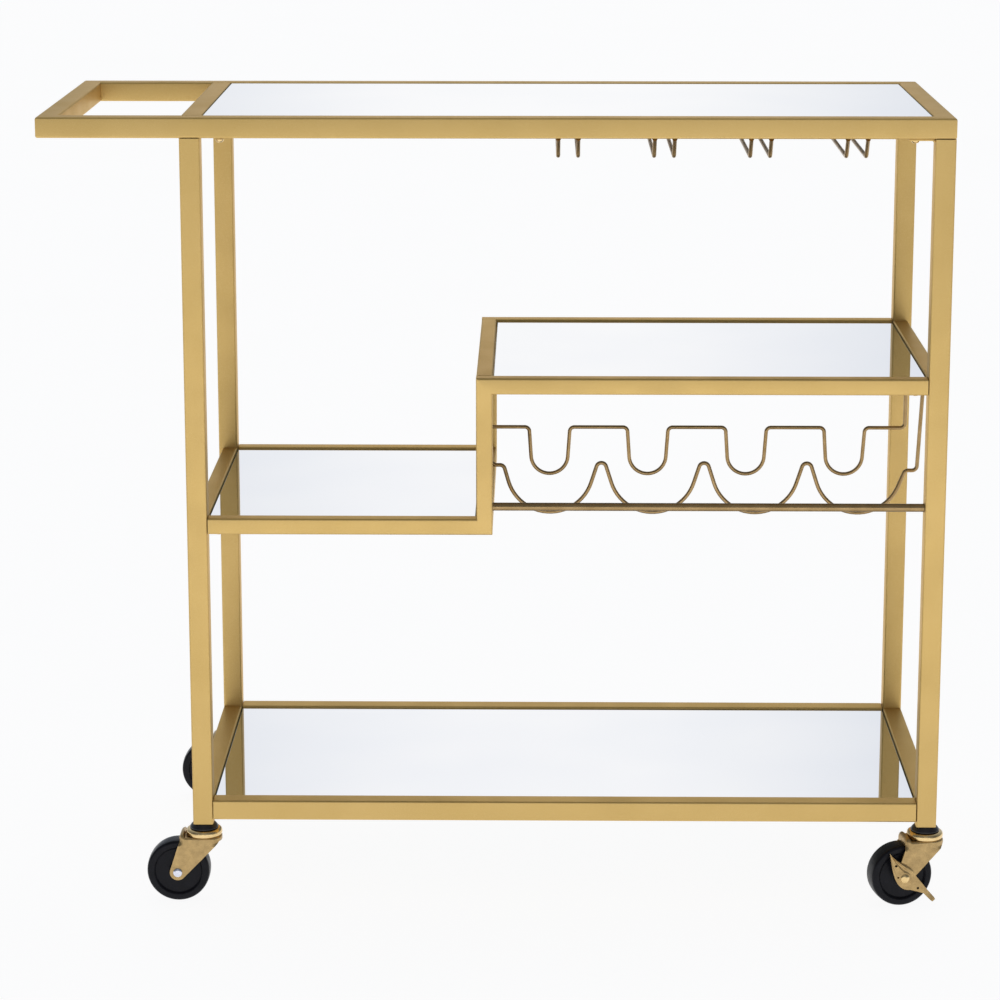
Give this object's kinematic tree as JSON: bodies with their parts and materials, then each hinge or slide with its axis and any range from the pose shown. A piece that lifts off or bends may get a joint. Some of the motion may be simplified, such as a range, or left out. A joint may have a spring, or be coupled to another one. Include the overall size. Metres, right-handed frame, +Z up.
{
  "type": "bar cart on wheels",
  "caption": "Square-tube bar cart with mirror shelves, a push handle, a wire bottle rack, stemware hangers and swivel casters, some with side brakes.",
  "frame": {"origin": "on the floor, under the middle of the whole cart's bounding box", "axes": "+X along the cart away from the push handle, +Y from the front to the rear, +Z up"},
  "size_m": [0.8914, 0.3692, 0.792],
  "materials": {
    "gold_tube": "satin gold powder coat on steel tube",
    "gold_wire": "satin gold paint on steel wire",
    "caster_brass": "brass-coloured plating on stamped steel",
    "mirror_glass": "float glass mirror with polished edges",
    "black_plastic": "moulded, satin",
    "wheel_black": "hard moulded wheel, semi-gloss",
    "rivet_steel": "zinc-plated rivet"
  },
  "bodies": {
    "frame": {"leg_front_left": "gold_tube", "leg_front_right": "gold_tube", "leg_rear_left": "gold_tube", "leg_rear_right": "gold_tube", "top_front_rail": "gold_tube", "top_rear_rail": "gold_tube", "handle_bar": "gold_tube", "top_right_bar": "gold_tube", "top_cross_bar": "gold_tube", "lower_shelf_front_rail": "gold_tube", "step_post_front": "gold_tube", "upper_shelf_front_rail": "gold_tube", "lower_shelf_rear_rail": "gold_tube", "step_post_rear": "gold_tube", "upper_shelf_rear_rail": "gold_tube", "lower_shelf_cross_bar": "gold_tube", "upper_shelf_cross_bar": "gold_tube", "lower_shelf_left_rail": "gold_tube", "upper_shelf_right_rail": "gold_tube", "bottom_front_rail": "gold_tube", "bottom_rear_rail": "gold_tube", "bottom_left_rail": "gold_tube", "bottom_right_rail": "gold_tube", "top_shelf_mirror": "mirror_glass", "top_shelf_ledge": "gold_tube", "upper_shelf_mirror": "mirror_glass", "upper_shelf_ledge": "gold_tube", "lower_shelf_mirror": "mirror_glass", "lower_shelf_ledge": "gold_tube", "bottom_shelf_mirror": "mirror_glass", "bottom_shelf_ledge": "gold_tube", "bottle_cradle_wire": "gold_wire", "bottle_neck_wire": "gold_wire", "bottle_stop_rod": "gold_wire", "glass_hanger_1": "gold_wire", "glass_hanger_2": "gold_wire", "glass_hanger_3": "gold_wire", "glass_hanger_4": "gold_wire", "leg_insert_front_left": "black_plastic", "caster_stem_front_left": "caster_brass", "leg_insert_front_right": "black_plastic", "caster_stem_front_right": "caster_brass", "leg_insert_rear_left": "black_plastic", "caster_stem_rear_left": "caster_brass", "leg_insert_rear_right": "black_plastic", "caster_stem_rear_right": "caster_brass"},
    "fork_front_left": {"caster_fork_front_left": "caster_brass", "caster_axle_front_left": "rivet_steel"},
    "wheel_front_left": {"caster_wheel_front_left": "wheel_black"},
    "fork_front_right": {"caster_fork_front_right": "caster_brass", "caster_axle_front_right": "rivet_steel"},
    "wheel_front_right": {"caster_wheel_front_right": "wheel_black"},
    "lever_front_right": {"brake_lever_front_right": "caster_brass"},
    "fork_rear_left": {"caster_fork_rear_left": "caster_brass", "caster_axle_rear_left": "rivet_steel"},
    "wheel_rear_left": {"caster_wheel_rear_left": "wheel_black"},
    "fork_rear_right": {"caster_fork_rear_right": "caster_brass", "caster_axle_rear_right": "rivet_steel"},
    "wheel_rear_right": {"caster_wheel_rear_right": "wheel_black"},
    "lever_rear_right": {"brake_lever_rear_right": "caster_brass"}
  },
  "joints": [
    {"name": "swivel_front_left", "type": "hinge", "parent": "frame", "child": "fork_front_left", "pos_m": [-0.2985, -0.16, 0.07], "axis": [0, 0, 1], "continuous": true},
    {"name": "roll_front_left", "type": "hinge", "parent": "fork_front_left", "child": "wheel_front_left", "pos_m": [-0.3245, -0.16, 0.03175], "axis": [0, 1, 0], "continuous": true},
    {"name": "swivel_front_right", "type": "hinge", "parent": "frame", "child": "fork_front_right", "pos_m": [0.426, -0.16, 0.07], "axis": [0, 0, 1], "continuous": true},
    {"name": "roll_front_right", "type": "hinge", "parent": "fork_front_right", "child": "wheel_front_right", "pos_m": [0.40067, -0.16585, 0.03175], "axis": [-0.225, 0.9744, 0], "continuous": true},
    {"name": "brake_front_right", "type": "hinge", "parent": "fork_front_right", "child": "lever_front_right", "pos_m": [0.40067, -0.16585, 0.03175], "axis": [0.225, -0.9744, 0], "range_deg": [0, 28]},
    {"name": "swivel_rear_left", "type": "hinge", "parent": "frame", "child": "fork_rear_left", "pos_m": [-0.2985, 0.16, 0.07], "axis": [0, 0, 1], "continuous": true},
    {"name": "roll_rear_left", "type": "hinge", "parent": "fork_rear_left", "child": "wheel_rear_left", "pos_m": [-0.3245, 0.16, 0.03175], "axis": [0, 1, 0], "continuous": true},
    {"name": "swivel_rear_right", "type": "hinge", "parent": "frame", "child": "fork_rear_right", "pos_m": [0.426, 0.16, 0.07], "axis": [0, 0, 1], "continuous": true},
    {"name": "roll_rear_right", "type": "hinge", "parent": "fork_rear_right", "child": "wheel_rear_right", "pos_m": [0.40067, 0.16585, 0.03175], "axis": [0.225, 0.9744, 0], "continuous": true},
    {"name": "brake_rear_right", "type": "hinge", "parent": "fork_rear_right", "child": "lever_rear_right", "pos_m": [0.40067, 0.16585, 0.03175], "axis": [-0.225, -0.9744, 0], "range_deg": [0, 28]}
  ]
}
